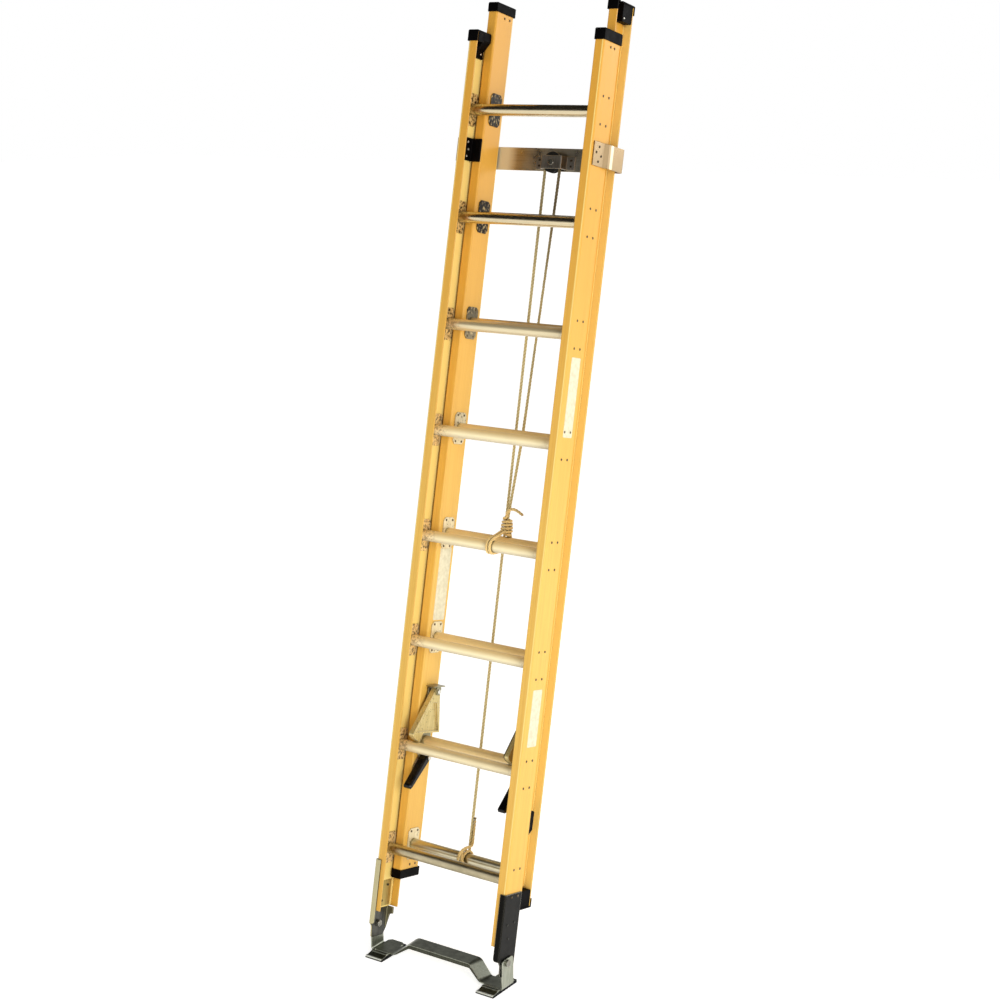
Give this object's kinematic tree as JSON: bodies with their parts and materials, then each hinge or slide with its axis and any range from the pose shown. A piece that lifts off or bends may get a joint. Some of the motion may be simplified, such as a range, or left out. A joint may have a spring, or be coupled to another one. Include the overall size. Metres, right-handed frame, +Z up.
{
  "type": "extension ladder",
  "caption": "Two-section extension ladder with fibreglass channel rails, tubular rungs, a roped pulley, sprung rung locks and a swivel shoe bar, leaning at its working angle.",
  "frame": {"origin": "on the floor midway between the shoes, under the shoe pivot axis", "axes": "+X along the rungs, +Y the way the ladder leans, +Z up"},
  "size_m": [0.4736, 0.7121, 2.6914],
  "materials": {
    "fibreglass": "satin pultruded fibreglass",
    "rung_aluminium": "mill",
    "plate_aluminium": "mill",
    "black_moulding": "moulded",
    "zinc_steel": "zinc plated",
    "wheel_plastic": "moulded",
    "dark_steel": "satin",
    "shoe_steel": "zinc plated",
    "tread_rubber": "matt",
    "rope": "laid fibre"
  },
  "bodies": {
    "base": {"base_cap_left": "black_moulding", "base_cap_right": "black_moulding", "base_rail_left": "fibreglass", "base_rail_right": "fibreglass", "base_rivets": "plate_aluminium", "base_rung_1": "rung_aluminium", "base_rung_2": "rung_aluminium", "base_rung_3": "rung_aluminium", "base_rung_4": "rung_aluminium", "base_rung_5": "rung_aluminium", "base_rung_6": "rung_aluminium", "base_rung_7": "rung_aluminium", "base_rung_8": "rung_aluminium", "base_rung_plates": "plate_aluminium", "foot_backing_plates": "zinc_steel", "foot_bracket_left": "dark_steel", "foot_bracket_right": "dark_steel", "foot_rivets": "zinc_steel", "guide_block_left": "black_moulding", "guide_block_right": "black_moulding", "hat_rivets": "plate_aluminium", "pivot_bolt_left": "zinc_steel", "pivot_bolt_right": "zinc_steel", "pulley_axle": "zinc_steel", "pulley_hat": "zinc_steel", "pulley_strap": "plate_aluminium", "rope_haul_fall": "rope", "rope_lift_fall": "rope", "rope_tie": "rope", "strap_rivets": "plate_aluminium"},
    "fly": {"fly_bottom_cap_left": "black_moulding", "fly_bottom_cap_right": "black_moulding", "fly_guide_pad_left": "black_moulding", "fly_guide_pad_right": "black_moulding", "fly_rail_left": "fibreglass", "fly_rail_right": "fibreglass", "fly_rivets": "plate_aluminium", "fly_rung_1": "rung_aluminium", "fly_rung_2": "rung_aluminium", "fly_rung_3": "rung_aluminium", "fly_rung_4": "rung_aluminium", "fly_rung_5": "rung_aluminium", "fly_rung_6": "rung_aluminium", "fly_rung_7": "rung_aluminium", "fly_rung_8": "rung_aluminium", "fly_rung_plates": "plate_aluminium", "fly_top_cap_left": "black_moulding", "fly_top_cap_right": "black_moulding", "lock_bracket_left": "zinc_steel", "lock_bracket_right": "zinc_steel", "lock_pins": "zinc_steel", "rung_knot": "rope"},
    "finger_left": {"lock_finger_left": "black_moulding"},
    "finger_right": {"lock_finger_right": "black_moulding"},
    "hook_left": {"lock_hook_left": "zinc_steel"},
    "hook_right": {"lock_hook_right": "zinc_steel"},
    "pulley": {"pulley_wheel": "wheel_plastic"},
    "shoes": {"shoe_bar": "shoe_steel", "sole_left": "tread_rubber", "sole_right": "tread_rubber"}
  },
  "joints": [
    {"name": "fly_slide", "type": "slide", "parent": "base", "child": "fly", "axis": [0, 0.2011, 0.9796], "range_m": [0, 1.524], "deforming": ["rope_lift_fall", "rope_haul_fall", "rope_tie", "lock_finger_left", "lock_finger_right"]},
    {"name": "pulley_spin", "type": "hinge", "parent": "base", "child": "pulley", "pos_m": [0.012, 0.55126, 2.24834], "axis": [0, 0.9796, -0.2011], "continuous": true},
    {"name": "hook_swing_left", "type": "hinge", "parent": "fly", "child": "hook_left", "pos_m": [-0.1637, 0.21185, 0.74406], "axis": [1, 0, 0], "range_deg": [0, 16], "stiffness_Nm_per_rad": 2, "springref_deg": -17.19},
    {"name": "finger_swing_left", "type": "hinge", "parent": "fly", "child": "finger_left", "pos_m": [-0.1637, 0.15835, 0.55802], "axis": [1, 0, 0], "range_deg": [-38, 45], "stiffness_Nm_per_rad": 1.5},
    {"name": "hook_swing_right", "type": "hinge", "parent": "fly", "child": "hook_right", "pos_m": [0.1637, 0.21185, 0.74406], "axis": [1, 0, 0], "range_deg": [0, 16], "stiffness_Nm_per_rad": 2, "springref_deg": -17.19},
    {"name": "finger_swing_right", "type": "hinge", "parent": "fly", "child": "finger_right", "pos_m": [0.1637, 0.15835, 0.55802], "axis": [1, 0, 0], "range_deg": [-38, 45], "stiffness_Nm_per_rad": 1.5},
    {"name": "shoe_swivel", "type": "hinge", "parent": "base", "child": "shoes", "pos_m": [0, 0, 0.085], "axis": [1, 0, 0], "range_deg": [-40, 50]}
  ],
  "couplings": [
    {"joint": "pulley_spin", "follows": "fly_slide", "rad_per_m": 41.152}
  ]
}
